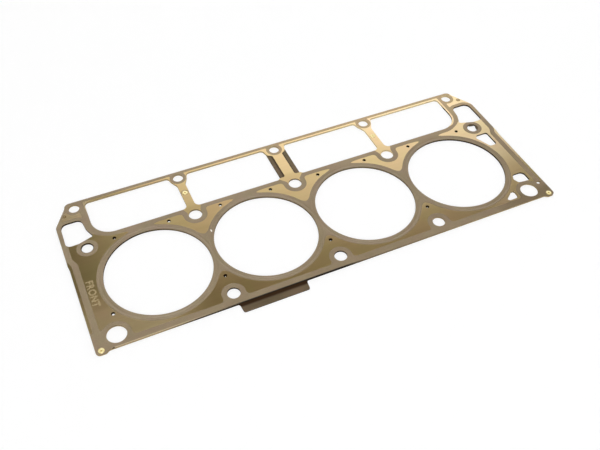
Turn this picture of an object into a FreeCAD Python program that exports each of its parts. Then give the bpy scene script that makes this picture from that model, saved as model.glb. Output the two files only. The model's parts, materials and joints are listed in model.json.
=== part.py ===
import FreeCAD, Part
import math
import os

from FreeCAD import Vector

# Multi-layer steel cylinder head gasket for one bank of four cylinders in line: two thin
# embossed sheets on either side of a thicker spacer, held together by four rivets.
# All sizes are millimetres. X runs along the bores from front to rear, Y towards the
# valley side, Z up. The origin is in the middle of the bore row, on the lower face.

# Bores
bore_count = 4
bore_pitch = 111.76
bore_radius = 52.4

# Sheets
sheet_thickness = 0.25
spacer_thickness = 0.8

# Bead pressed into both sheets round every bore
bead_height = 0.3
bead_width = 3.0
bead_crest_width = 1.0
bead_from_bore = 3.3

# Bolt and dowel holes, in three rows along the bores
inner_row_y = 54.5
outer_row_y = -54.9
upper_row_y = 112.0
inner_bolt_radius = 6.9
end_bolt_radius = 6.3
outer_bolt_radius = 6.4
dowel_radius = 9.4
upper_bolt_radius = 5.5

# Narrower end bolt holes of the spacer, with retaining fingers in the rear one
spacer_end_bolt_radius = 5.7
finger_angles = [75.0, -15.0]
finger_width = 5.0
finger_reach = 1.5
finger_overlap = 1.0

# Steam vents beside the bores, most of them metered by a smaller hole in the lower sheet
vent_radius = 1.9
metered_vent_radius = 0.5
valley_vent_rise = 4.2
valley_vent_from_bore = 28.2
rear_vent_from_bore = 35.4
outer_vent_land = 12.14
front_vent_inset = 2.8

# Outer edge, with a lug at both outer corners and a slight step along both ends
valley_edge_y = 121.2
outer_edge_y = -68.4
end_reach = 22.1
edge_step = 0.7
edge_step_y = 37.0
edge_step_length = 6.0
edge_step_radius = 6.0
lug_drop = 2.2
lug_width = 8.6
lug_slope = 3.6
lug_corner_radius = 4.4
lug_inner_radius = 3.0
lug_root_radius = 2.5

# Upper corners, from the end bolt column and the upper bolt row
shoulder_y = 92.0
shoulder_radius = 8.0
shoulder_neck = [9.6, 2.4, 5.0]
shoulder_top_x = 7.8
shoulder_top_radius = 6.0

# Windows between the bores and the valley edge, with a crossbar at every bolt column
window_low_y = 65.6
window_high_y = 115.6
window_end_gap = 11.3
window_end_radius = 20.5
window_end_top_radius = 4.5
bar_half_width = 4.4
bar_root_radius = 5.5
bar_head_y = 100.5
bar_head_radius = 7.0
boss_low_y = 109.0
boss_low_half_width = 8.8
boss_low_radius = 9.0
boss_high_half_width = 10.4
boss_high_radius = 4.0

# Middle crossbar, narrow in the sheets and wide in the spacer
middle_boss_high = [13.2, 3.5]
middle_boss_low = [10.6, 106.2, 3.0]
middle_bar_head_y = 103.2
middle_bar_half_width = 5.7
middle_bar_radius = 2.5
foot_rise = 2.2
foot_half_width = 12.0
foot_base_half_width = 14.6
foot_radius = 1.2
spacer_bar_half_width = 11.4
spacer_bar_radius = 3.2

# Coolant and oil holes at the ends. Each corner is its distance beyond the end bolt
# column, its Y and its rounding.
coolant_hole = [
    (18.8, 62.6, 5.0), (18.3, 94.4, 7.0), (-2.9, 94.4, 6.0),
    (-4.5, 79.0, 20.0), (-9.3, 67.8, 2.0), (6.5, 62.9, 8.0),
]
wedge_hole = [
    (10.4, 41.2, 2.5), (-3.0, 41.2, 2.5), (-5.9, 37.2, 1.5),
    (1.8, 20.3, 2.5), (10.5, 20.3, 3.0),
]
kidney_hole = [
    (10.2, -28.6, 5.0), (-2.9, -28.6, 3.5), (-5.9, -34.8, 3.0),
    (-3.3, -41.0, 3.0), (10.2, -42.4, 2.0),
]
corner_hole = [(-32.8, -59.4, 2.0), (-16.4, -59.4, 4.0), (-15.4, -46.6, 2.5)]
drain_slot = [
    (13.7, -51.3, 1.9), (18.3, -51.3, 1.9), (18.3, -47.4, 1.9), (13.7, -47.4, 1.9),
]

# Tab on the outer edge of the spacer
tab_start_x = -111.2
tab_length = 68.3
tab_reach = 10.4
tab_lean = 0.9
tab_corner_radius = 2.0
tab_root_radius = 3.0
tab_overlap = 1.0
tab_root_length = 8.0
tab_inner_radius = 0.4
tab_bend_start = 0.6
tab_bend_length = 3.2
tab_drop = 0.5

# Rivets with a small set mark on top, sunk in dimples so that both sealing faces stay flat
flange_radius = 3.0
flange_thickness = 0.25
shank_radius = 1.9
head_top_radius = 2.3
set_mark_radius = 0.8
set_mark_depth = 0.4
rivet_clearance = 0.05
dimple_radius = 4.0
dimple_floor_radius = 3.4
corner_rivet_inset = [5.2, 4.2]
bar_rivet_y = 88.3

# Heights of the stack, from the lower face up
lower_top = sheet_thickness
spacer_bottom = lower_top + bead_height
spacer_top = spacer_bottom + spacer_thickness
upper_bottom = spacer_top + bead_height
upper_top = upper_bottom + sheet_thickness

# Places along the bores
bore_xs = [(i - (bore_count - 1) / 2) * bore_pitch for i in range(bore_count)]
column_xs = [(i - bore_count / 2) * bore_pitch for i in range(bore_count + 1)]
end_x = column_xs[-1]
rivet_bar_x = column_xs[-2]
lower_end_x = end_x + end_reach
upper_end_x = lower_end_x + edge_step
lug_y = outer_edge_y - lug_drop
valley_vent_y = bore_radius + valley_vent_rise
outer_vent_y = -math.sqrt((bore_radius + outer_vent_land) ** 2 - (bore_pitch / 2) ** 2)


def rounded_wire(corners):
    """Closed wire through corners given as (x, y, radius), each one rounded."""
    count = len(corners)
    arcs = []
    for i, (x, y, radius) in enumerate(corners):
        here = Vector(x, y, 0)
        before = Vector(*corners[i - 1][:2], 0) - here
        after = Vector(*corners[(i + 1) % count][:2], 0) - here
        before.normalize()
        after.normalize()
        half = before.getAngle(after) / 2
        run = radius / math.tan(half)
        inward = before + after
        inward.normalize()
        middle = here + inward * (radius / math.sin(half) - radius)
        arcs.append((here + before * run, middle, here + after * run))
    edges = []
    for i, (start, middle, end) in enumerate(arcs):
        edges.append(Part.Arc(start, middle, end).toShape())
        edges.append(Part.LineSegment(end, arcs[(i + 1) % count][0]).toShape())
    return Part.Wire(edges)


def prism(corners, bottom, top):
    """Upright solid on a rounded outline, between two heights."""
    face = Part.Face(rounded_wire(corners))
    face.translate(Vector(0, 0, bottom))
    return face.extrude(Vector(0, 0, top - bottom))


def disc(x, y, radius, bottom, top):
    return Part.makeCylinder(radius, top - bottom, Vector(x, y, bottom))


def mirrored(corners):
    """The same outline at the other end of the bore row."""
    return [(-x, y, radius) for x, y, radius in reversed(corners)]


def at_rear(corners):
    """An outline that is given from the end bolt column, placed at the rear end."""
    return [(end_x + x, y, radius) for x, y, radius in corners]


def plate_outline():
    """Outer edge that the three layers share."""
    neck_x, neck_rise, neck_radius = shoulder_neck
    lug_x = lower_end_x - lug_width
    rear = [
        (lug_x - lug_slope, outer_edge_y, lug_root_radius),
        (lug_x, lug_y, lug_inner_radius),
        (lower_end_x, lug_y, lug_corner_radius),
        (lower_end_x, edge_step_y - edge_step_length / 2, edge_step_radius),
        (upper_end_x, edge_step_y + edge_step_length / 2, edge_step_radius),
        (upper_end_x, shoulder_y, shoulder_radius),
        (end_x + neck_x, upper_row_y + neck_rise, neck_radius),
        (end_x + shoulder_top_x, valley_edge_y, shoulder_top_radius),
    ]
    return rear + mirrored(rear)


def bar_side(side):
    """Window corners along one side of the rear rivet's crossbar, from its root up."""
    return [
        (rivet_bar_x + side * bar_half_width, window_low_y, bar_root_radius),
        (rivet_bar_x + side * bar_half_width, bar_head_y, bar_head_radius),
        (rivet_bar_x + side * boss_low_half_width, boss_low_y, boss_low_radius),
        (rivet_bar_x + side * boss_high_half_width, window_high_y, boss_high_radius),
    ]


def end_window():
    x = end_x - window_end_gap
    end_side = [
        (x, window_high_y, window_end_top_radius),
        (x, window_low_y, window_end_radius),
    ]
    return bar_side(1) + end_side


def middle_window():
    """Window beside the narrow middle crossbar of the sheets."""
    bar = [
        (foot_base_half_width, window_low_y, foot_radius),
        (foot_half_width, window_low_y + foot_rise, foot_radius),
        (middle_bar_half_width, window_low_y + foot_rise, middle_bar_radius),
        (middle_bar_half_width, middle_bar_head_y, middle_bar_radius),
        tuple(middle_boss_low),
        (middle_boss_high[0], window_high_y, middle_boss_high[1]),
    ]
    return bar + bar_side(-1)[::-1]


def spacer_middle_window():
    """Window beside the wide middle crossbar of the spacer."""
    bar = [
        (spacer_bar_half_width, window_low_y, spacer_bar_radius),
        (spacer_bar_half_width, window_high_y, spacer_bar_radius),
    ]
    return bar + bar_side(-1)[::-1]


def tab_outline():
    """Tab along the outer edge, with its ends leaning inwards and its roots rounded."""
    tab_end_x = tab_start_x + tab_length
    tab_y = outer_edge_y - tab_reach
    root_y = outer_edge_y + tab_overlap
    return [
        (tab_start_x + tab_lean, tab_y, tab_corner_radius),
        (tab_end_x - tab_lean, tab_y, tab_corner_radius),
        (tab_end_x, outer_edge_y, tab_root_radius),
        (tab_end_x + tab_root_length, outer_edge_y, tab_inner_radius),
        (tab_end_x + tab_root_length, root_y, tab_inner_radius),
        (tab_start_x - tab_root_length, root_y, tab_inner_radius),
        (tab_start_x - tab_root_length, outer_edge_y, tab_inner_radius),
        (tab_start_x, outer_edge_y, tab_root_radius),
    ]


def tab():
    """Tab, bent down past the edge in a shallow step so that it lies just above the lower face."""
    inner_y = outer_edge_y + tab_overlap
    bend_y = outer_edge_y - tab_bend_start
    foot_y = bend_y - tab_bend_length
    outer_y = outer_edge_y - tab_reach
    line = [(inner_y, 0), (bend_y, 0), (foot_y, tab_drop), (outer_y, tab_drop)]
    start_x = tab_start_x - tab_root_length
    lower = [Vector(start_x, y, spacer_bottom - drop) for y, drop in line]
    upper = [Vector(start_x, y, spacer_top - drop) for y, drop in reversed(line)]
    profile = Part.Face(Part.makePolygon(lower + upper + lower[:1]))
    strip = profile.extrude(Vector(tab_length + 2 * tab_root_length, 0, 0))
    return strip.common(prism(tab_outline(), 0, spacer_top))


def vents():
    """Centre of every steam vent, and whether the lower sheet meters it."""
    first_bar_x = column_xs[1]
    places = []
    for x in bore_xs:
        rear_reach = rear_vent_from_bore if x == bore_xs[-1] else valley_vent_from_bore
        for vent_x in (x - valley_vent_from_bore, x + rear_reach):
            metered = abs(vent_x - first_bar_x) > bore_pitch / 2
            places.append((vent_x, valley_vent_y, metered))
    places.append((front_vent_inset - end_x, outer_vent_y, False))
    places += [(x, outer_vent_y, True) for x in column_xs[1:-1]]
    return places


def rivet_places():
    corner_x = lower_end_x - corner_rivet_inset[0]
    corner_y = lug_y + corner_rivet_inset[1]
    return {
        "front_corner_rivet": (-corner_x, corner_y),
        "rear_corner_rivet": (corner_x, corner_y),
        "front_bar_rivet": (-rivet_bar_x, bar_rivet_y),
        "rear_bar_rivet": (rivet_bar_x, bar_rivet_y),
    }


def plate(bottom, top, middle_outline, end_hole_radius, meter_radius):
    """Flat layer with all holes but the rivets' ones."""
    holes = [(x, 0, bore_radius) for x in bore_xs]
    for x in column_xs:
        at_end = abs(x) == end_x
        holes.append((x, inner_row_y, end_hole_radius if at_end else inner_bolt_radius))
        holes.append((x, outer_row_y, dowel_radius if at_end else outer_bolt_radius))
        holes.append((x, upper_row_y, upper_bolt_radius))
    for x, y, metered in vents():
        holes.append((x, y, meter_radius if metered else vent_radius))
    outlines = [at_rear(hole) for hole in (wedge_hole, kidney_hole, corner_hole, drain_slot)]
    for outline in (at_rear(coolant_hole), end_window(), middle_outline):
        outlines += [outline, mirrored(outline)]
    cuts = [disc(x, y, radius, bottom, top) for x, y, radius in holes]
    cuts += [prism(outline, bottom, top) for outline in outlines]
    return prism(plate_outline(), bottom, top).cut(cuts)


def pressed_forms(base, rise):
    """Bore beads and rivet dimples that stand on a height, up or down from it."""
    radius = bore_radius + bead_from_bore
    section = Part.makePolygon([
        Vector(radius - bead_width / 2, 0, base),
        Vector(radius + bead_width / 2, 0, base),
        Vector(radius + bead_crest_width / 2, 0, base + rise),
        Vector(radius - bead_crest_width / 2, 0, base + rise),
        Vector(radius - bead_width / 2, 0, base),
    ])
    bead = Part.Face(section).revolve(Vector(0, 0, 0), Vector(0, 0, 1), 360)
    forms = [bead.translated(Vector(x, 0, 0)) for x in bore_xs]
    for x, y in rivet_places().values():
        place = Vector(x, y, base)
        into = Vector(0, 0, rise)
        forms.append(Part.makeCone(dimple_radius, dimple_floor_radius, bead_height, place, into))
    return forms


def rivet_holes():
    radius = shank_radius + rivet_clearance
    return [disc(x, y, radius, 0, upper_top) for x, y in rivet_places().values()]


def bead_layer(bottom, outer_face, inner_face, meter_radius):
    """Thin sheet with beads and dimples pressed from its outer face towards the spacer."""
    sheet = plate(bottom, bottom + sheet_thickness, middle_window(), end_bolt_radius, meter_radius)
    rise = math.copysign(bead_height, inner_face - outer_face)
    raised = sheet.fuse(pressed_forms(inner_face, rise))
    return raised.cut(pressed_forms(outer_face, rise)).cut(rivet_holes())


def spacer():
    """Thick middle layer with its tab, wide middle crossbar and retaining fingers."""
    window = spacer_middle_window()
    base = plate(spacer_bottom, spacer_top, window, spacer_end_bolt_radius, vent_radius)
    additions = [tab()]
    for angle in finger_angles:
        tip = spacer_end_bolt_radius - finger_reach
        corner = Vector(tip, -finger_width / 2, spacer_bottom)
        finger = Part.makeBox(finger_reach + finger_overlap, finger_width, spacer_thickness, corner)
        finger.rotate(Vector(0, 0, 0), Vector(0, 0, 1), angle)
        additions.append(finger.translated(Vector(end_x, inner_row_y, 0)))
    return base.fuse(additions).cut(rivet_holes())


def rivet(x, y):
    """Rivet with a plain head below and, above, a bevelled head with a round set mark."""
    low = lower_top + bead_height - sheet_thickness
    foot = low - flange_thickness
    high = upper_bottom - bead_height + sheet_thickness
    rim = high + flange_thickness
    profile = Part.makePolygon([
        Vector(0, 0, foot),
        Vector(flange_radius, 0, foot),
        Vector(flange_radius, 0, low),
        Vector(shank_radius, 0, low),
        Vector(shank_radius, 0, high),
        Vector(flange_radius, 0, high),
        Vector(head_top_radius, 0, rim),
        Vector(set_mark_radius, 0, rim),
        Vector(set_mark_radius, 0, rim - set_mark_depth),
        Vector(0, 0, rim - set_mark_depth),
        Vector(0, 0, foot),
    ])
    solid = Part.Face(profile).revolve(Vector(0, 0, 0), Vector(0, 0, 1), 360)
    return solid.translated(Vector(x, y, 0))


def build():
    """Every piece of the gasket, by name."""
    pieces = {
        "upper_bead_layer": bead_layer(upper_bottom, upper_top, upper_bottom, vent_radius),
        "spacer_layer": spacer(),
        "lower_bead_layer": bead_layer(0, 0, lower_top, metered_vent_radius),
    }
    for name, (x, y) in rivet_places().items():
        pieces[name] = rivet(x, y)
    return pieces


os.makedirs("parts", exist_ok=True)
for node, piece in build().items():
    piece.Solids[0].exportStep(f"parts/{node}.step")
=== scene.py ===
import json
import math

import bpy
import numpy as np
from mathutils import Matrix, Vector, geometry

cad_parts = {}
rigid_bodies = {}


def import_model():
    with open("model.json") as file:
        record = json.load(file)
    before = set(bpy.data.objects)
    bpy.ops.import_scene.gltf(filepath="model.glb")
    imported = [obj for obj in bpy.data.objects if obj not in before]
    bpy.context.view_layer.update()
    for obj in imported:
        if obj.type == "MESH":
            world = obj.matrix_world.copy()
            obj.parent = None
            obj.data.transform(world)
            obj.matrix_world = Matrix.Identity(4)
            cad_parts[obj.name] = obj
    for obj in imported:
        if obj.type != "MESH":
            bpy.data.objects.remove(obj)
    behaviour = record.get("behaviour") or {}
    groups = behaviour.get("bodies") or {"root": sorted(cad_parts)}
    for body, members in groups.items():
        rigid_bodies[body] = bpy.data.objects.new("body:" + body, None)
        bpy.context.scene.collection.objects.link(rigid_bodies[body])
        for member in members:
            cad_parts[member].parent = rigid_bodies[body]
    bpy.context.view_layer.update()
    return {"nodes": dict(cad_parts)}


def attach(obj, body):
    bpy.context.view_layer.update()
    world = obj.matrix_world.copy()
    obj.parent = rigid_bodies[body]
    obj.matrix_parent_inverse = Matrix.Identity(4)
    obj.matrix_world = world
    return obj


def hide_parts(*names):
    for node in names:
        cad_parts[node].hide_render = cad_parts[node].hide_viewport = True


# Looks of the cylinder head gasket: the printed sealing coat and fine relief of its two
# thin sheets, its rivets, the front mark, materials, lamps and camera.
# Plane shapes are worked out in millimetres, in the frame of the part.
MM = 0.001

# Layout along the bores, as in the part
PITCH = 111.76
BORE_XS = [(i - 1.5) * PITCH for i in range(4)]
COLUMN_XS = [(i - 2) * PITCH for i in range(5)]
END_X = COLUMN_XS[-1]
END_EDGE_X = 246.0
BORE_RADIUS = 52.4
INNER_ROW_Y = 54.5
OUTER_ROW_Y = -54.9
UPPER_ROW_Y = 112.0
VENT_RADIUS = 1.9
LOWER_VENT_RADIUS = 1.25
WINDOW_LOW_Y = 65.6
WINDOW_END_X = 212.2
WINDOW_END_RADIUS = 20.5
CORNER_RIVET_X = 240.42
CORNER_RIVET_Y = -66.4
BAR_RIVET_Y = 88.3
RIVETS = {
    "front_corner_rivet": (-CORNER_RIVET_X, CORNER_RIVET_Y),
    "rear_corner_rivet": (CORNER_RIVET_X, CORNER_RIVET_Y),
    "front_bar_rivet": (-PITCH, BAR_RIVET_Y),
    "rear_bar_rivet": (PITCH, BAR_RIVET_Y),
}

# Heights and pressed relief of a sheet
STACK_HEIGHT = 1.9
SHEET_THICKNESS = 0.25
BEAD_HEIGHT = 0.3
BEAD_WIDTH = 3.0
BEAD_CREST_WIDTH = 1.0
BEAD_RADIUS = BORE_RADIUS + 3.3
DIMPLE_RADIUS = 4.0
DIMPLE_FLOOR_RADIUS = 3.4
COAT_THICKNESS = 0.04
COAT_SHOULDER = 0.7
BARE_TOP = STACK_HEIGHT - COAT_THICKNESS

# Sealing coat: its reach round the holes and along the edges, and how softly its zones join
BORE_COAT_RADIUS = 58.7
INNER_COAT_RADIUS = 12.3
OUTER_COAT_RADIUS = 11.7
UPPER_COAT_RADIUS = 8.8
END_COAT_RADIUS = 10.6
DOWEL_COAT_RADIUS = 13.8
BOTTOM_COAT_Y = -61.2
TOP_COAT_Y = 117.7
WEB_BLEND = 12.0
BAND_BLEND = 6.0
BLEND = 2.0

# Places beyond the edges of the sheets, for zones that run out over them
BEYOND_X = 260.0
BEYOND_LOW_Y = -90.0
BEYOND_HIGH_Y = 200.0

# Coat round the windows: wider at both ends, and set back from the rim of the end windows
BAND_REACH = 5.3
BAND_END_REACH = 1.4
BAND_END_X = (205, 214)
REAR_RIM_WIDTH = 2.0
REAR_RIM_X = (198, 208)
FRONT_RIM_WIDTH = 1.3
FRONT_RIM_X = (208, 212)
FRONT_RIM_Y = (100, 110)

# Coat along both ends, which moves out to the edge above the step there
FRONT_STRIP_X = -239.85
FRONT_STRIP_HALF_WIDTH = 3.05
REAR_STRIP_X = 239.95
REAR_STRIP_HALF_WIDTH = 2.85
STRIP_Y = (-52, 90)
STRIP_SHIFT = 3.6
STRIP_SHIFT_Y = (36, 47)

# Coat at the lower corners, round the coolant holes and along the front shoulder, a slanted
# line that is given by one of its points and the direction across it
CORNER_COAT_Y = -46.0
CORNER_COAT_ROUND = 4.0
COOLANT_LOW = (219.5, 63.0)
COOLANT_HIGH = (242.0, 94.4)
COOLANT_ROUND = 7.0
COOLANT_REACH = 4.2
COOLANT_COAT_LOW_Y = 68.0
SHOULDER_X = -232.5
SHOULDER_Y = 116.0
SHOULDER_SLANT = (0.87, 0.5)
SHOULDER_REACH = 2.6

# Bare steel within the coat: the foot of the crossbars and the outer rim of both ends
BAR_MIDDLE_Y = 77.0
BAR_HALF_LENGTH = 22.5
BAR_HALF_WIDTH = 7.0
BAR_SPREADS = (2.6, 5.6, 2.6)
BAR_SPREAD_Y = (58, 66.5)
BARE_FRONT_X = -242.9
BARE_FRONT_Y = (-30, 30)
BARE_FRONT_TAPER = 2.6
BARE_FRONT_TAPER_Y = (4, 30)
BARE_REAR_X = 242.8
BARE_REAR_Y = (-48, 36)

# Fineness of the meshes
SHEET_LOW = (-250, -75)
SHEET_HIGH = (250, 125)
GRID_STEP = 1.0
OFF_LEVEL = 1e-6
UPRIGHT_LIMIT = 0.01
ROUND_TOLERANCE = 0.02
HOLE_STEPS = 40
HOLE_STEPS_PER_MM = 3
BEAD_STEPS = 144
DIMPLE_STEPS = 32
RIVET_STEPS = 48
WELD_STEPS = 32
FLOOR_STEPS = 96


def box_distance(x, y, low, high, radius):
    """Signed distance to a rectangle with rounded corners."""
    half_x = (high[0] - low[0]) / 2 - radius
    half_y = (high[1] - low[1]) / 2 - radius
    dx = np.abs(x - (high[0] + low[0]) / 2) - half_x
    dy = np.abs(y - (high[1] + low[1]) / 2) - half_y
    outside = np.hypot(np.maximum(dx, 0), np.maximum(dy, 0))
    return outside + np.minimum(np.maximum(dx, dy), 0) - radius


def disc_distance(x, y, cx, cy, radius):
    return np.hypot(x - cx, y - cy) - radius


def span_distance(value, low, high):
    """Signed distance to the span between two values."""
    return np.maximum(low - value, value - high)


def join(a, b, blend):
    """Union of two distances, with the corner between them filled by a round of that size."""
    overlap = np.maximum(blend - np.abs(a - b), 0) / blend
    return np.minimum(a, b) - overlap * overlap * blend / 4


def step_between(value, low, high):
    t = np.clip((value - low) / (high - low), 0, 1)
    return t * t * (3 - 2 * t)


def window_band(x, y):
    """Coat round the foot and the ends of the four windows together."""
    low, high = (-WINDOW_END_X, WINDOW_LOW_Y), (WINDOW_END_X, BEYOND_HIGH_Y)
    window = box_distance(x, y, low, high, WINDOW_END_RADIUS)
    reach = BAND_REACH + BAND_END_REACH * step_between(np.abs(x), *BAND_END_X)
    rear_rim = REAR_RIM_WIDTH * step_between(x, *REAR_RIM_X)
    front_rim = FRONT_RIM_WIDTH * step_between(-x, *FRONT_RIM_X) * step_between(y, *FRONT_RIM_Y)
    return np.maximum(window - reach, rear_rim + front_rim - window)


def upper_coat(x, y):
    """Coat round the windows and the inner bolt holes between the cylinders."""
    coat = window_band(x, y)
    for column in COLUMN_XS[1:-1]:
        coat = join(coat, disc_distance(x, y, column, INNER_ROW_Y, INNER_COAT_RADIUS), BAND_BLEND)
    return coat


def lower_coat(x, y):
    """Coat along the outer edge, round the outer bolt and dowel holes and at the corners."""
    coat = y - BOTTOM_COAT_Y
    for column in COLUMN_XS[1:-1]:
        coat = join(coat, disc_distance(x, y, column, OUTER_ROW_Y, OUTER_COAT_RADIUS), BAND_BLEND)
    for side in (-1, 1):
        dowel = disc_distance(x, y, side * END_X, OUTER_ROW_Y, DOWEL_COAT_RADIUS)
        coat = join(coat, dowel, BAND_BLEND)
        low, high = (END_X, BEYOND_LOW_Y), (BEYOND_X, CORNER_COAT_Y)
        coat = join(coat, box_distance(x * side, y, low, high, CORNER_COAT_ROUND), BLEND)
    return coat


def top_coat(x, y):
    """Coat along the valley edge and round the upper bolt holes."""
    coat = TOP_COAT_Y - y
    for column in COLUMN_XS:
        coat = join(coat, disc_distance(x, y, column, UPPER_ROW_Y, UPPER_COAT_RADIUS), BLEND)
    return coat


def side_strips(x, y):
    """Coat along both ends."""
    shift = STRIP_SHIFT * step_between(y, *STRIP_SHIFT_Y)
    front = np.abs(x - FRONT_STRIP_X + shift) - FRONT_STRIP_HALF_WIDTH
    rear = np.abs(x - REAR_STRIP_X - shift) - REAR_STRIP_HALF_WIDTH
    return np.maximum(np.minimum(front, rear), span_distance(y, *STRIP_Y))


def bar_roots(x, y):
    """Bare foot of the three crossbars, down to the inner bolt holes."""
    nearest = np.full_like(x, 1e3)
    for column, spread in zip(COLUMN_XS[1:-1], BAR_SPREADS):
        half = BAR_HALF_WIDTH + spread * step_between(y, *BAR_SPREAD_Y)
        bar = np.maximum(np.abs(x - column) - half, np.abs(y - BAR_MIDDLE_Y) - BAR_HALF_LENGTH)
        nearest = np.minimum(nearest, bar)
    return nearest


def coat_distance(x, y):
    """Signed distance to the edge of the sealing coat, below zero where there is coat."""
    coat = disc_distance(x, y, BORE_XS[0], 0, BORE_COAT_RADIUS)
    for bore_x in BORE_XS[1:]:
        coat = join(coat, disc_distance(x, y, bore_x, 0, BORE_COAT_RADIUS), WEB_BLEND)
    coat = join(coat, upper_coat(x, y), BAND_BLEND)
    for zone in (lower_coat, top_coat, side_strips):
        coat = join(coat, zone(x, y), BLEND)
    for side in (-1, 1):
        coat = join(coat, disc_distance(x, y, side * END_X, INNER_ROW_Y, END_COAT_RADIUS), BLEND)
        coolant = box_distance(x * side, y, COOLANT_LOW, COOLANT_HIGH, COOLANT_ROUND)
        coolant = np.maximum(coolant - COOLANT_REACH, COOLANT_COAT_LOW_Y - y)
        coat = join(coat, coolant, BLEND)
    slant_x, slant_y = SHOULDER_SLANT
    shoulder = (SHOULDER_X - x) * slant_x + (y - SHOULDER_Y) * slant_y + SHOULDER_REACH
    coat = join(coat, np.maximum(-shoulder, y - SHOULDER_Y), BLEND)
    taper = BARE_FRONT_TAPER * step_between(y, *BARE_FRONT_TAPER_Y)
    bare_front = np.maximum(x - BARE_FRONT_X + taper, span_distance(y, *BARE_FRONT_Y))
    bare_rear = np.maximum(BARE_REAR_X - x, span_distance(y, *BARE_REAR_Y))
    for bare in (bar_roots(x, y), bare_front, bare_rear):
        coat = np.maximum(coat, -bare)
    return coat


def is_coated(x, y):
    """Where there is coat: in its zones, and on the slope of every dimple."""
    coated = coat_distance(x, y) < 0
    for cx, cy in RIVETS.values():
        off = np.hypot(x - cx, y - cy)
        coated |= (off > DIMPLE_FLOOR_RADIUS) & (off < DIMPLE_RADIUS)
    return coated


def relief(x, y):
    """How far the outer face of a sheet lies below its highest level."""
    depth = COAT_THICKNESS * step_between(coat_distance(x, y), -COAT_SHOULDER, 0)
    slope = (BEAD_WIDTH - BEAD_CREST_WIDTH) / 2
    for bore_x in BORE_XS:
        off = np.abs(np.hypot(x - bore_x, y) - BEAD_RADIUS)
        depth = np.maximum(depth, BEAD_HEIGHT * np.clip((BEAD_WIDTH / 2 - off) / slope, 0, 1))
    for cx, cy in RIVETS.values():
        off = (DIMPLE_RADIUS - np.hypot(x - cx, y - cy)) / (DIMPLE_RADIUS - DIMPLE_FLOOR_RADIUS)
        depth = np.maximum(depth, BEAD_HEIGHT * np.clip(off, 0, 1))
    return depth


def level_lines(level):
    """Segments along which the coat distance has one value, found on a square grid."""
    xs = np.arange(SHEET_LOW[0], SHEET_HIGH[0] + GRID_STEP, GRID_STEP)
    ys = np.arange(SHEET_LOW[1], SHEET_HIGH[1] + GRID_STEP, GRID_STEP)
    grid_x, grid_y = np.meshgrid(xs, ys, indexing="ij")
    value = coat_distance(grid_x, grid_y) - level
    value[value == 0] = OFF_LEVEL
    sign = value > 0
    count = sign[:-1, :-1].astype(int) + sign[1:, :-1] + sign[1:, 1:] + sign[:-1, 1:]
    segments = []
    for i, j in np.argwhere((count > 0) & (count < 4)):
        corners = [(i, j), (i + 1, j), (i + 1, j + 1), (i, j + 1)]
        crossings = []
        for a, b in zip(corners, corners[1:] + corners[:1]):
            if sign[a] != sign[b]:
                t = value[a] / (value[a] - value[b])
                crossings.append((
                    xs[a[0]] + t * (xs[b[0]] - xs[a[0]]),
                    ys[a[1]] + t * (ys[b[1]] - ys[a[1]]),
                ))
        segments += zip(crossings[::2], crossings[1::2])
    return segments


def circle_lines(cx, cy, radius, count):
    turn = [2 * math.pi * k / count for k in range(count)]
    points = [(cx + radius * math.cos(a), cy + radius * math.sin(a)) for a in turn]
    return [(points[k], points[(k + 1) % count]) for k in range(count)]


def relief_lines():
    """Lines that the mesh of a sheet follows: edge and shoulder of the coat, beads, dimples."""
    lines = level_lines(0) + level_lines(-COAT_SHOULDER)
    for bore_x in BORE_XS:
        for off in (-BEAD_WIDTH, -BEAD_CREST_WIDTH, BEAD_CREST_WIDTH, BEAD_WIDTH):
            lines += circle_lines(bore_x, 0, BEAD_RADIUS + off / 2, BEAD_STEPS)
    for cx, cy in RIVETS.values():
        for radius in (DIMPLE_RADIUS, DIMPLE_FLOOR_RADIUS):
            lines += circle_lines(cx, cy, radius, DIMPLE_STEPS)
    return lines


def wall_rims(node):
    """Plan view of every upright wall of a CAD node: its outer edge and its holes."""
    mesh = node.data
    rims = {}
    for polygon in mesh.polygons:
        if abs(polygon.normal.z) > UPRIGHT_LIMIT:
            continue
        plan = {tuple(round(c / MM, 4) for c in mesh.vertices[v].co[:2]) for v in polygon.vertices}
        if len(plan) == 2:
            rims[tuple(sorted(plan))] = None
    return list(rims)


def fine_rims(rims, open_vent_radius):
    """The same rims, with every round hole drawn with more and shorter steps, and the open
    vents at the radius that this sheet has there."""
    links = {}
    for a, b in rims:
        links.setdefault(a, []).append(b)
        links.setdefault(b, []).append(a)
    seen = set()
    lines = []
    for start in links:
        if start in seen:
            continue
        loop = [start]
        while loop[-1] not in seen:
            seen.add(loop[-1])
            loop += [point for point in links[loop[-1]] if point not in seen][:1]
        corners = np.array(loop)
        middle = corners.mean(axis=0)
        reach = np.hypot(*(corners - middle).T)
        if reach.max() - reach.min() < ROUND_TOLERANCE:
            is_vent = abs(reach.max() - VENT_RADIUS) < ROUND_TOLERANCE
            radius = open_vent_radius if is_vent else reach.max()
            lines += circle_lines(*middle, radius, max(HOLE_STEPS, int(radius * HOLE_STEPS_PER_MM)))
        else:
            lines += [(loop[k], loop[(k + 1) % len(loop)]) for k in range(len(loop))]
    return lines


def inside(rims, x, y):
    """Which points lie within the outer edge and outside every hole."""
    result = np.zeros(len(x), bool)
    for (ax, ay), (bx, by) in rims:
        if ay == by:
            continue
        crosses = (ay > y) != (by > y)
        result ^= crosses & (x < ax + (bx - ax) * (y - ay) / (by - ay))
    return result


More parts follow.
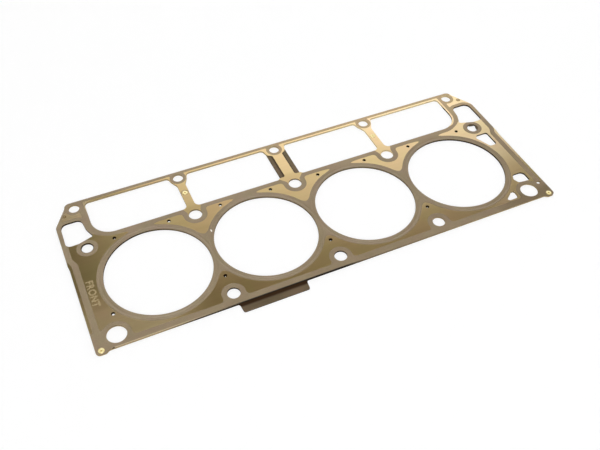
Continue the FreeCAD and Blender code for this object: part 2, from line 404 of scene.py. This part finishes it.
def plan_mesh(rims):
    """Points and triangles that fill a sheet in plan, along its rims and its relief lines."""
    index = {}
    edges = []
    for line in rims + relief_lines():
        keys = [(round(point[0], 3), round(point[1], 3)) for point in line]
        ends = tuple(index.setdefault(key, len(index)) for key in keys)
        if ends[0] != ends[1]:
            edges.append(ends)
    plan, _, faces, *_ = geometry.delaunay_2d_cdt([Vector(p) for p in index], edges, [], 0, 1e-4)
    plan = np.array([tuple(p) for p in plan])
    faces = np.array([tuple(f) for f in faces])
    middle = plan[faces].mean(axis=1)
    faces = faces[inside(rims, middle[:, 0], middle[:, 1])]
    used, faces = np.unique(faces, return_inverse=True)
    return plan[used], faces.reshape(-1, 3)


def add_piece(name, mesh):
    piece = bpy.data.objects.new(name, mesh)
    bpy.context.collection.objects.link(piece)
    return piece


def sheet_mesh(name, node, outer_z, inward, open_vent_radius):
    """One embossed sheet with its coat, from its plan to its relief, as a closed shell.

    Material slots: bare steel and coat on the outer face, then the inner face and the edges.
    """
    plan, faces = plan_mesh(fine_rims(wall_rims(node), open_vent_radius))
    middle = plan[faces].mean(axis=1)
    outer = outer_z + inward * relief(plan[:, 0], plan[:, 1])
    inner = outer + inward * SHEET_THICKNESS
    vertices = np.vstack([np.column_stack([plan, outer]), np.column_stack([plan, inner])]) * MM
    count = len(plan)
    turned = faces[:, ::-1]
    outer_faces, inner_faces = (turned, faces + count) if inward > 0 else (faces, turned + count)
    sides = {}
    for face in outer_faces:
        for k in range(3):
            sides[(face[k], face[(k + 1) % 3])] = None
    walls = [(b, a, a + count, b + count) for a, b in sides if (b, a) not in sides]
    polygons = [tuple(int(v) for v in face) for face in (*outer_faces, *inner_faces, *walls)]
    mesh = bpy.data.meshes.new(name)
    mesh.from_pydata(vertices.tolist(), [], polygons)
    coated = is_coated(middle[:, 0], middle[:, 1]).astype(int)
    mesh.polygons.foreach_set("material_index", [*coated, *([2] * (len(faces) + len(walls)))])
    mesh.update()
    return add_piece(name, mesh)


def lathe_mesh(name, x, y, profile, steps):
    """Closed turned piece from a profile of (radius, height) that starts and ends on its axis."""
    rings = profile[1:-1]
    vertices = [(x, y, profile[0][1]), (x, y, profile[-1][1])]
    for radius, height in rings:
        for k in range(steps):
            turn = 2 * math.pi * k / steps
            vertices.append((x + radius * math.cos(turn), y + radius * math.sin(turn), height))
    polygons = []
    last = 2 + (len(rings) - 1) * steps
    for k in range(steps):
        n = (k + 1) % steps
        polygons.append((0, 2 + n, 2 + k))
        polygons.append((1, last + k, last + n))
        for r in range(len(rings) - 1):
            base = 2 + r * steps
            polygons.append((base + k, base + n, base + steps + n, base + steps + k))
    mesh = bpy.data.meshes.new(name)
    mesh.from_pydata([[c * MM for c in v] for v in vertices], [], polygons)
    mesh.polygons.foreach_set("use_smooth", [True] * len(polygons))
    mesh.update()
    return add_piece(name, mesh)


# Turned profile of a rivet: plain head below, bevelled head with a shallow set mark above
RIVET_PROFILE = (
    (0.0, 0.05), (1.9, 0.05), (2.6, 0.09), (2.92, 0.17), (3.0, 0.26), (3.0, 0.30), (1.9, 0.30),
    (1.9, 1.60), (3.0, 1.60), (3.0, 1.64), (2.9, 1.72), (2.6, 1.81), (2.2, 1.848), (1.9, 1.85),
    (1.15, 1.835), (0.95, 1.80), (0.8, 1.70), (0.6, 1.64), (0.0, 1.62),
)


class Shader:
    """Small helper that builds one node material."""

    def __init__(self, name):
        self.material = bpy.data.materials.new(name)
        self.material.use_nodes = True
        self.nodes = self.material.node_tree.nodes
        self.links = self.material.node_tree.links
        self.bsdf = self.nodes["Principled BSDF"]
        self.place = self.nodes.new("ShaderNodeTexCoord").outputs["Object"]

    def link(self, source, target):
        self.links.new(source, target)

    def feed(self, sockets, values):
        """Link or set each socket, by what its value is."""
        for socket, value in zip(sockets, values):
            if isinstance(value, bpy.types.NodeSocket):
                self.link(value, socket)
            elif isinstance(value, tuple):
                socket.default_value = (*value, 1)
            else:
                socket.default_value = value

    def noise(self, scale, detail, stretch=(1, 1, 1)):
        mapping = self.nodes.new("ShaderNodeMapping")
        mapping.inputs["Scale"].default_value = stretch
        self.link(self.place, mapping.inputs["Vector"])
        noise = self.nodes.new("ShaderNodeTexNoise")
        noise.inputs["Scale"].default_value = scale
        noise.inputs["Detail"].default_value = detail
        noise.inputs["Roughness"].default_value = 0.5
        self.link(mapping.outputs["Vector"], noise.inputs["Vector"])
        return noise.outputs["Fac"]

    def axis(self, name):
        split = self.nodes.new("ShaderNodeSeparateXYZ")
        self.link(self.place, split.inputs["Vector"])
        return split.outputs[name]

    def spread(self, value, low, high, to_low=0.0, to_high=1.0):
        node = self.nodes.new("ShaderNodeMapRange")
        node.inputs["From Min"].default_value = low
        node.inputs["From Max"].default_value = high
        node.inputs["To Min"].default_value = to_low
        node.inputs["To Max"].default_value = to_high
        self.link(value, node.inputs["Value"])
        return node.outputs["Result"]

    def ramp(self, value, stops):
        node = self.nodes.new("ShaderNodeValToRGB")
        elements = node.color_ramp.elements
        while len(elements) < len(stops):
            elements.new(0.5)
        for element, (position, colour) in zip(elements, stops):
            element.position = position
            element.color = (*colour, 1)
        self.link(value, node.inputs["Fac"])
        return node.outputs["Color"]

    def mix(self, factor, a, b, mode="MIX"):
        node = self.nodes.new("ShaderNodeMix")
        node.data_type = "RGBA"
        node.blend_type = mode
        self.feed((node.inputs[0], node.inputs[6], node.inputs[7]), (factor, a, b))
        return node.outputs[2]

    def math(self, operation, *values):
        node = self.nodes.new("ShaderNodeMath")
        node.operation = operation
        self.feed(node.inputs, values)
        return node.outputs["Value"]

    def add(self, a, b, scale):
        return self.math("MULTIPLY_ADD", b, scale, a)

    def distance(self, a, b):
        return self.math("ABSOLUTE", self.math("SUBTRACT", a, b))

    def along(self):
        """Share of the way from the front end to the rear end."""
        return self.spread(self.axis("X"), -END_EDGE_X * MM, END_EDGE_X * MM)

    def zone(self, rows):
        """Share of a zone of tone, as the product of its change along each axis."""
        shares = [
            self.spread(self.axis(axis), low * MM, high * MM, at_low, at_high)
            for axis, low, high, at_low, at_high in rows
        ]
        result = shares[0]
        for share in shares[1:]:
            result = self.math("MULTIPLY", result, share)
        return result

    def spot(self, x, y, half_x, half_y):
        """One inside a small ellipse in plan, given in millimetres, and zero outside it."""
        off_x = self.math("MULTIPLY_ADD", self.axis("X"), 1 / (half_x * MM), -x / half_x)
        off_y = self.math("MULTIPLY_ADD", self.axis("Y"), 1 / (half_y * MM), -y / half_y)
        squares = [self.math("MULTIPLY", off, off) for off in (off_x, off_y)]
        return self.spread(self.math("ADD", *squares), *SPOT_EDGE, 1, 0)

    def bump(self, height, distance, strength):
        node = self.nodes.new("ShaderNodeBump")
        node.inputs["Distance"].default_value = distance
        node.inputs["Strength"].default_value = strength
        self.link(height, node.inputs["Height"])
        self.link(node.outputs["Normal"], self.bsdf.inputs["Normal"])


def shade(red, green, blue):
    """Colour written as 0 to 255, as a linear one."""
    return tuple(((c / 255 + 0.055) / 1.055) ** 2.4 for c in (red, green, blue))


# Zones of tone, most of them painted light and shade, as said at each. Each row has an axis,
# two places on it in millimetres, and the share of the zone at the first and at the second.
# Painted sheen: the coat lighter towards the valley side and the rear
COAT_VALLEY_SHEEN = (("Y", 50, 110, 0, 1), ("X", -150, 100, 0, 1))
# Painted shade: the coat darker at the rear low corner
COAT_REAR_CORNER_SHADE = (("Y", -58, -50, 1, 0), ("X", 175, 200, 0, 1))
# Painted highlight, then painted shade, along the coat's rim at the outer edge
COAT_RIM_LIGHT_AND_SHADE = (("X", -232.5, -228.5, 0, 1), ("X", 0, 20, 1, 0), ("Y", -67.7, -67.1, 1, 0))
# Painted reflection on the bare steel: lighter at the front low corner, on the valley side and on
# the crossbars
BARE_FRONT_CORNER = (("Y", -30, 0, 0.7, 0), ("X", -180, -140, 1, 0))
BARE_VALLEY = (("Y", 85, 100, 0, 1), ("X", -210, -200, 0.9, 0.2))
BARE_BARS = (("Y", 66, 74, 0, 1), ("X", -200, -190, 0, 1), ("X", 30, 110, 0.2, 0.08))
# Painted shade on the bare steel along its low side
BARE_NEAR = (("X", -170, -130, 0, 1), ("X", 160, 200, 1, 0.4), ("Y", -45, 0, 1, 0))
BARE_REAR = (("X", 190, 215, 0, 1), ("Y", -20, 5, 1, 0))
# Places where the cut walls take other painted light and shade
CUT_BARS = (("Y", 40, 42, 0, 1),)
CUT_VALLEY_EDGE = (("Y", 98, 106, 0, 1),)
CUT_OUTER_EDGE = (("Y", -46, -44, 1, 0),)
# Painted shade on the spacer: at the root of its tab, in the front holes and beside the middle
# crossbar
SPACER_TAB_ROOT = (("Y", -73.5, -71.2, 0, 1), ("Y", -66, -65, 1, 0))
SPACER_FRONT_HOLE = (("X", -210, -200, 1, 0),)
SPACER_BESIDE_BAR = (("X", -8.5, -7.0, 0, 0.7), ("X", 7.4, 6.6, 0, 1))
# Painted highlight on the rivet tops
RIVET_TOP_HIGHLIGHT = (("Z", 1.68, 1.84, 0, 1),)

# Where the painted light and shade of a cut wall changes: the distance from the axis of a bore,
# within which the wall is painted half lit, the distance from the middle of the part, at which
# that ends, and the distance from a bolt column, within which the wall is a crossbar's
CUT_BORE_REACH = (53.0, 53.5)
CUT_BORE_X = (140, 175)
CUT_BAR_REACH = (8.5, 9.0)

# Small spots in the coat, as middle and half size: painted shade for a small notch at the front
# corner, a painted glint between the first two bores, and the shining dimple in the third crossbar.
# SPOT_EDGE is where a spot fades out, as the square of its share of the half size.
SPOT_EDGE = (0.8, 1.2)
COAT_NOTCH_SHADE = (-229.8, -68.5, 1.4, 1.0)
COAT_GLINT = (-104.5, 27.0, 0.7, 1.8)
REAR_BAR_DIMPLE = (PITCH, BAR_RIVET_Y, 4.3, 4.3)


def coat_material():
    """Sealing coat: thin matt rubber print, grey brown, a little cloudy with a fine grain."""
    s = Shader("sealing_coat")
    cloud = s.noise(28, 4)
    grain = s.noise(900, 2)
    colour = s.ramp(cloud, ((0.3, shade(143, 126, 101)), (0.7, shade(153, 136, 110))))
    tone = s.ramp(s.along(), (
        (0.0, shade(255, 255, 255)), (0.5, shade(246, 244, 240)), (1.0, shade(238, 235, 229)),
    ))
    colour = s.mix(1.0, colour, tone, "MULTIPLY")
    # Painted sheen on the coat, lighter towards the valley side and the rear
    colour = s.mix(s.zone(COAT_VALLEY_SHEEN), colour, shade(182, 156, 117))
    # Painted shade on the coat at the rear low corner
    colour = s.mix(s.zone(COAT_REAR_CORNER_SHADE), colour, shade(222, 220, 210), "MULTIPLY")
    # Coat rim along the outer edge: a painted highlight at the front, then painted shade of the gap
    # over the tab
    rim_highlight_and_shade = s.ramp(s.along(), ((0.16, shade(196, 178, 144)), (0.28, shade(30, 24, 16))))
    colour = s.mix(s.zone(COAT_RIM_LIGHT_AND_SHADE), colour, rim_highlight_and_shade)
    colour = s.mix(s.spot(*REAR_BAR_DIMPLE), colour, shade(232, 204, 156))
    # Painted shade for a small notch at the front corner
    colour = s.mix(s.spot(*COAT_NOTCH_SHADE), colour, shade(32, 26, 16))
    # Painted glint between the first two bores
    colour = s.mix(s.spot(*COAT_GLINT), colour, shade(255, 251, 238))
    tint = s.ramp(s.noise(70, 3), ((0.35, shade(252, 255, 248)), (0.65, shade(255, 251, 253))))
    colour = s.mix(1.0, colour, tint, "MULTIPLY")
    speckle = s.ramp(grain, ((0.35, shade(244, 244, 244)), (0.65, shade(255, 255, 255))))
    s.link(s.mix(1.0, colour, speckle, "MULTIPLY"), s.bsdf.inputs["Base Color"])
    s.link(s.spread(cloud, 0.3, 0.7, 0.34, 0.44), s.bsdf.inputs["Roughness"])
    s.bsdf.inputs["Specular IOR Level"].default_value = 0.4
    s.bump(s.add(grain, cloud, 0.5), 0.00003, 0.35)
    return s.material


def bare_material():
    """Bare spring steel: pale gold tint, finely rolled lengthwise, darker towards the front, partly
    its own tint and partly painted reflection.
    """
    s = Shader("bare_steel")
    rolled = s.noise(320, 3, (0.05, 1, 1))
    # Partly painted reflection: the steel turns lighter from the front end to the rear end
    place = s.add(s.along(), s.noise(17, 3), 0.06)
    # Painted reflection: lighter at the front low corner, on the valley side and on the crossbars
    place = s.math("ADD", place, s.zone(BARE_FRONT_CORNER))
    place = s.math("ADD", place, s.math("MAXIMUM", s.zone(BARE_VALLEY), s.zone(BARE_BARS)))
    colour = s.ramp(place, (
        (0.05, shade(180, 158, 108)), (0.14, shade(200, 176, 126)), (0.3, shade(208, 181, 131)),
        (0.7, shade(232, 204, 154)), (0.9, shade(242, 214, 168)), (1.0, shade(246, 221, 178)),
    ))
    # Painted shade: the bare steel darker along its low side
    colour = s.mix(s.zone(BARE_NEAR), colour, shade(214, 210, 200), "MULTIPLY")
    colour = s.mix(s.zone(BARE_REAR), colour, shade(246, 244, 228), "MULTIPLY")
    tint = s.ramp(s.noise(30, 2), ((0.35, shade(251, 255, 247)), (0.65, shade(255, 251, 252))))
    streak = s.ramp(rolled, ((0.3, shade(250, 249, 247)), (0.7, shade(255, 255, 255))))
    colour = s.mix(1.0, s.mix(1.0, colour, tint, "MULTIPLY"), streak, "MULTIPLY")
    s.link(colour, s.bsdf.inputs["Base Color"])
    s.bsdf.inputs["Metallic"].default_value = 1.0
    s.link(s.spread(rolled, 0.3, 0.7, 0.29, 0.31), s.bsdf.inputs["Roughness"])
    s.bump(rolled, 0.00001, 0.03)
    return s.material


def cut_colour(s):
    """Sheared edges, in painted light and shade by place: lit along both long sides and the
    crossbars save near the tab, half lit round the inner bores, and in painted shade elsewhere."""
    # The three colours are painted shade, painted half light and painted light.
    wall_shade, worn, wall_lit = shade(40, 27, 12), shade(114, 99, 75), shade(180, 160, 120)
    y = s.axis("Y")
    from_middle = s.math("ABSOLUTE", s.axis("X"))
    from_column = s.distance(from_middle, PITCH * MM)
    from_bore = s.distance(from_column, PITCH / 2 * MM)
    squares = s.math("ADD", s.math("MULTIPLY", from_bore, from_bore), s.math("MULTIPLY", y, y))
    near, far = CUT_BORE_REACH
    bore = s.spread(s.math("SQRT", squares), near * MM, far * MM, 1, 0)
    near, far = CUT_BORE_X
    bore = s.math("MULTIPLY", bore, s.spread(from_middle, near * MM, far * MM, 1, 0))
    near, far = CUT_BAR_REACH
    bar = s.spread(s.math("MINIMUM", from_column, from_middle), near * MM, far * MM, 1, 0)
    bar = s.math("MULTIPLY", bar, s.zone(CUT_BARS))
    # Painted light on the crossbar walls, brightest on the rear crossbar
    bar_colour = s.ramp(s.along(), (
        (0.27, shade(150, 132, 100)), (0.5, shade(130, 114, 86)), (0.72, shade(230, 208, 164)),
    ))
    # Painted light on the valley edge, brighter towards the rear
    valley_colour = s.ramp(s.along(), ((0.3, wall_lit), (0.75, shade(226, 206, 160))))
    # Outer edge: painted light at both ends and painted shade near the tab
    outer_colour = s.ramp(s.along(), (
        (0.12, wall_lit), (0.19, wall_shade), (0.5, wall_shade), (0.54, worn), (0.8, wall_lit),
    ))
    colour = s.mix(bar, s.mix(bore, wall_shade, worn), bar_colour)
    colour = s.mix(s.zone(CUT_VALLEY_EDGE), colour, valley_colour)
    return s.mix(s.zone(CUT_OUTER_EDGE), colour, outer_colour)


def cut_edge_material():
    """Inner face and sheared edge of a sheet: painted shade and painted light by place, from black
    to bright, with fine marks.
    """
    s = Shader("cut_edge")
    marks = s.noise(600, 2, (1, 1, 0.1))
    streak = s.ramp(marks, ((0.3, shade(215, 213, 210)), (0.7, shade(255, 255, 255))))
    s.link(s.mix(1.0, cut_colour(s), streak, "MULTIPLY"), s.bsdf.inputs["Base Color"])
    s.link(s.spread(marks, 0.3, 0.7, 0.5, 0.65), s.bsdf.inputs["Roughness"])
    s.bsdf.inputs["Specular IOR Level"].default_value = 0.0
    s.bump(marks, 0.00004, 0.3)
    return s.material


def spacer_material():
    """Carrier sheet: duller, browner steel with a rolled grain and faint stains. It has painted
    shade at the root of its tab, in the front holes and close beside the middle crossbar."""
    s = Shader("spacer_steel_finish")
    rolled = s.noise(260, 3, (0.08, 1, 1))
    stain = s.noise(22, 4)
    colour = s.ramp(stain, (
        (0.3, shade(96, 86, 60)), (0.5, shade(112, 96, 72)), (0.7, shade(124, 100, 78)),
    ))
    streak = s.ramp(rolled, ((0.3, shade(228, 226, 220)), (0.7, shade(255, 255, 255))))
    colour = s.mix(1.0, colour, streak, "MULTIPLY")
    painted_shade = s.math("MAXIMUM", s.zone(SPACER_TAB_ROOT), s.zone(SPACER_FRONT_HOLE))
    painted_shade = s.math("MAXIMUM", painted_shade, s.zone(SPACER_BESIDE_BAR))
    # Painted shade at the tab root, in the front holes and beside the middle crossbar
    colour = s.mix(painted_shade, colour, shade(54, 38, 24))
    facing = s.nodes.new("ShaderNodeSeparateXYZ")
    s.link(s.nodes.new("ShaderNodeNewGeometry").outputs["True Normal"], facing.inputs["Vector"])
    upright = s.spread(s.math("ABSOLUTE", facing.outputs["Z"]), 0.45, 0.6, 1, 0)
    dull = s.math("MAXIMUM", upright, painted_shade)
    # Upright faces take the painted light and shade of the cut edges
    s.link(s.mix(upright, colour, cut_colour(s)), s.bsdf.inputs["Base Color"])
    s.link(s.spread(dull, 0, 1, 0.6, 0.0), s.bsdf.inputs["Metallic"])
    s.link(s.spread(dull, 0, 1, 0.5, 0.0), s.bsdf.inputs["Specular IOR Level"])
    s.link(s.spread(rolled, 0.3, 0.7, 0.40, 0.5), s.bsdf.inputs["Roughness"])
    s.bump(s.add(rolled, stain, 0.4), 0.00004, 0.2)
    return s.material


def rivet_material():
    """Brass plated rivet: satin, a little worn, golden below, with a painted highlight of bright
    pale yellow on top.
    """
    s = Shader("rivet_brass")
    worn = s.noise(420, 3)
    face = s.ramp(worn, ((0.3, shade(250, 232, 160)), (0.7, shade(255, 246, 196))))
    # Painted highlight: the top of the rivet bright pale yellow
    colour = s.mix(s.zone(RIVET_TOP_HIGHLIGHT), shade(206, 170, 96), face)
    s.link(colour, s.bsdf.inputs["Base Color"])
    s.bsdf.inputs["Metallic"].default_value = 0.2
    s.link(s.spread(worn, 0.3, 0.7, 0.22, 0.32), s.bsdf.inputs["Roughness"])
    s.bump(worn, 0.00002, 0.12)
    return s.material


def mark_material():
    """Struck letters: the same steel, roughened by the stamp, so that they catch the light."""
    s = Shader("struck_steel")
    grain = s.noise(700, 3)
    colour = s.ramp(grain, ((0.3, shade(166, 147, 108)), (0.7, shade(184, 165, 125))))
    s.link(colour, s.bsdf.inputs["Base Color"])
    s.bsdf.inputs["Metallic"].default_value = 0.6
    s.link(s.spread(grain, 0.3, 0.7, 0.5, 0.65), s.bsdf.inputs["Roughness"])
    s.bump(grain, 0.00004, 0.3)
    return s.material


def weld_material():
    """Spot weld: heat tint, brown to straw."""
    s = Shader("weld_tint")
    tint = s.noise(380, 3)
    colour = s.ramp(tint, ((0.3, shade(138, 112, 72)), (0.7, shade(168, 142, 98))))
    s.link(colour, s.bsdf.inputs["Base Color"])
    s.bsdf.inputs["Metallic"].default_value = 1.0
    s.link(s.spread(tint, 0.3, 0.7, 0.38, 0.5), s.bsdf.inputs["Roughness"])
    s.bump(tint, 0.00004, 0.3)
    return s.material


# Front mark: five raised letters that read down the front end
MARK_WORD = "FRONT"
MARK_HEIGHT = 7.6
MARK_LENGTH = 32.0
MARK_X = -235.9
MARK_START_Y = 13.3
MARK_BOLDNESS = 0.034
MARK_SPACING = 1.12


def front_mark():
    """The word as a mesh, fitted to its length, height and rise over the bare steel.

    The depth of the text curve only has to be above zero, because it is scaled to the rise.
    """
    curve = bpy.data.curves.new("front_mark_text", "FONT")
    curve.body = MARK_WORD
    curve.extrude = 0.5
    curve.offset = MARK_BOLDNESS
    curve.space_character = MARK_SPACING
    text = bpy.data.objects.new("front_mark_text", curve)
    bpy.context.collection.objects.link(text)
    bpy.context.view_layer.update()
    mesh = bpy.data.meshes.new_from_object(text)
    bpy.data.objects.remove(text)
    corners = np.array([v.co for v in mesh.vertices])
    low, high = corners.min(0), corners.max(0)
    size = Vector((MARK_LENGTH, MARK_HEIGHT, COAT_THICKNESS))
    span = high - low
    for vertex in mesh.vertices:
        along = (vertex.co.x - low[0]) / span[0] * size.x
        up = (vertex.co.y - low[1]) / span[1] * size.y
        rise = (vertex.co.z - low[2]) / span[2] * size.z
        vertex.co = Vector((MARK_X + up, MARK_START_Y - along, BARE_TOP + rise)) * MM
    return add_piece("front_mark", mesh)


# Heat spots of the two spot welds: middle and radius, how far they reach below and above the
# bare steel, and how far their crown dips
WELD_SPOTS = {"rear_weld_spot": (235.7, 104.3, 2.4), "front_weld_spot": (-235.0, 104.6, 2.1)}
WELD_DEPTH = 0.05
WELD_RISE = 0.03
WELD_DIP = 0.01


def weld_spot(name, x, y, radius):
    """Low round button of a spot weld on the bare steel."""
    low, high = BARE_TOP - WELD_DEPTH, BARE_TOP + WELD_RISE
    profile = (
        (0.0, low), (radius, low), (radius, BARE_TOP), (radius * 0.8, high),
        (radius * 0.5, high - WELD_DIP), (radius * 0.3, BARE_TOP), (0.0, BARE_TOP - WELD_DIP),
    )
    return lathe_mesh(name, x, y, profile, WELD_STEPS)


# Plain floor, as radius and height in metres, how far it lies below the part, and its share
# of plain white where it is seen
FLOOR_PROFILE = (
    (1.0, 0.0), (3.0, 0.0), (3.4, 0.05), (3.7, 0.2), (3.9, 0.45), (4.0, 0.8), (4.0, 2.0),
)
FLOOR_DROP = 0.00002
FLOOR_GLOW = 0.6


def floor_material():
    """Matt white that shows as white to the camera and in reflections, with the part's shadow."""
    s = Shader("floor_white")
    s.bsdf.inputs["Base Color"].default_value = (0.98, 0.98, 0.98, 1)
    s.bsdf.inputs["Roughness"].default_value = 1.0
    s.bsdf.inputs["Specular IOR Level"].default_value = 0.0
    glow = s.nodes.new("ShaderNodeEmission")
    rays = s.nodes.new("ShaderNodeLightPath")
    seen = rays.outputs["Is Camera Ray"]
    for name in ("Is Glossy Ray", "Is Transmission Ray"):
        seen = s.add(seen, rays.outputs[name], 1.0)
    mixed = s.nodes.new("ShaderNodeMixShader")
    s.link(s.spread(seen, 0, 1, 0, FLOOR_GLOW), mixed.inputs["Fac"])
    s.link(s.bsdf.outputs["BSDF"], mixed.inputs[1])
    s.link(glow.outputs["Emission"], mixed.inputs[2])
    s.link(mixed.outputs["Shader"], s.nodes["Material Output"].inputs["Surface"])
    return s.material


def stage_floor():
    """Plain pale floor that curves up into a backdrop all round."""
    vertices = [(0, 0, 0)]
    for radius, height in FLOOR_PROFILE:
        for k in range(FLOOR_STEPS):
            turn = 2 * math.pi * k / FLOOR_STEPS
            vertices.append((radius * math.cos(turn), radius * math.sin(turn), height))
    polygons = []
    for k in range(FLOOR_STEPS):
        n = (k + 1) % FLOOR_STEPS
        polygons.append((0, 1 + k, 1 + n))
        for r in range(len(FLOOR_PROFILE) - 1):
            base = 1 + r * FLOOR_STEPS
            above = base + FLOOR_STEPS
            polygons.append((base + k, above + k, above + n, base + n))
    mesh = bpy.data.meshes.new("floor")
    mesh.from_pydata(vertices, [], polygons)
    mesh.polygons.foreach_set("use_smooth", [True] * len(polygons))
    mesh.materials.append(floor_material())
    floor = add_piece("floor", mesh)
    floor.location.z = -FLOOR_DROP


def aimed(location, target):
    return (Vector(target) - Vector(location)).to_track_quat("-Z", "Y").to_euler()


def lamp(name, azimuth, elevation, distance, size, power, aside=0.0):
    """Soft lamp of that width and height that faces the middle of the part, or beside it.

    Azimuth runs from +X towards +Y, and aside moves the lamp level to the right, as seen
    from the part.
    """
    light = bpy.data.lights.new(name, "AREA")
    light.shape = "RECTANGLE"
    light.size, light.size_y = size
    light.energy = power
    turn, rise = math.radians(azimuth), math.radians(elevation)
    place = Vector((
        math.cos(rise) * math.cos(turn), math.cos(rise) * math.sin(turn), math.sin(rise),
    )) * distance
    source = bpy.data.objects.new(name, light)
    source.rotation_euler = aimed(place, (0, 0, 0))
    source.location = place + Vector((math.sin(turn), -math.cos(turn), 0)) * aside
    bpy.context.collection.objects.link(source)


# Strength of the even grey surroundings
WORLD_LEVEL = 0.17


def studio():
    """Even grey surroundings and three soft lamps. The rear one is mirrored in the bare steel."""
    world = bpy.data.worlds.new("studio")
    bpy.context.scene.world = world
    world.use_nodes = True
    background = world.node_tree.nodes["Background"]
    background.inputs["Color"].default_value = (1, 1, 1, 1)
    background.inputs["Strength"].default_value = WORLD_LEVEL
    lamp("overhead", -90, 84, 4.0, (2.0, 2.0), 90)
    lamp("rear_softbox", 82, 26.0, 2.4, (1.92, 1.66), 14.0, 0.68)
    lamp("camera_side", -110, 40, 4.0, (2.0, 2.0), 36)
    view = bpy.context.scene.view_settings
    view.view_transform = "Standard"


# Camera of the photograph: place in millimetres, direction of view, and roll in degrees
CAMERA_PLACE = (-232.69, -456.74, 563.72)
CAMERA_LOOK = (0.28240685, 0.60337501, -0.7457781)
CAMERA_ROLL = 0.9619
CAMERA_LENS = 44.63
SENSOR_WIDTH = 36.0


def camera():
    data = bpy.data.cameras.new("camera")
    data.sensor_width = SENSOR_WIDTH
    data.lens = CAMERA_LENS
    data.clip_start = 0.01
    data.clip_end = 50
    eye = bpy.data.objects.new("camera", data)
    bpy.context.collection.objects.link(eye)
    look = Vector(CAMERA_LOOK).to_track_quat("-Z", "Y").to_matrix()
    turn = look @ Matrix.Rotation(math.radians(CAMERA_ROLL), 3, "Z")
    eye.matrix_world = Matrix.Translation(Vector(CAMERA_PLACE) * MM) @ turn.to_4x4()
    bpy.context.scene.camera = eye


def dress(piece, materials, slot, *nodes):
    if piece.data.materials:
        piece.data.materials.clear()
    for material in materials:
        piece.data.materials.append(material)
    if nodes:
        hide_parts(*nodes)
        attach(piece, "root")


# Each bead layer's outer height, the way to its inner face, and the radius of its open vents
SHEETS = {
    "upper": (STACK_HEIGHT, -1, VENT_RADIUS),
    "lower": (0.0, 1, LOWER_VENT_RADIUS),
}


def main():
    for thing in list(bpy.context.scene.objects):
        bpy.data.objects.remove(thing)
    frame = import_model()
    nodes = frame["nodes"]
    coat, bare, edge = coat_material(), bare_material(), cut_edge_material()
    for side, form in SHEETS.items():
        node = f"{side}_bead_layer"
        sheet = sheet_mesh(f"{side}_sheet", nodes[node], *form)
        dress(sheet, (bare, coat, edge), "bead_sheet", node)
    dress(nodes["spacer_layer"], (spacer_material(),), "spacer_steel")
    brass = rivet_material()
    for node, (x, y) in RIVETS.items():
        rivet = lathe_mesh(f"{node}_turned", x, y, RIVET_PROFILE, RIVET_STEPS)
        dress(rivet, (brass,), "rivet", node)
    mark = front_mark()
    dress(mark, (mark_material(),), "bead_sheet")
    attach(mark, "root")
    weld = weld_material()
    for name, (x, y, radius) in WELD_SPOTS.items():
        spot = weld_spot(name, x, y, radius)
        dress(spot, (weld,), "bead_sheet")
        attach(spot, "root")
    stage_floor()
    studio()
    camera()
    bpy.context.view_layer.update()


main()
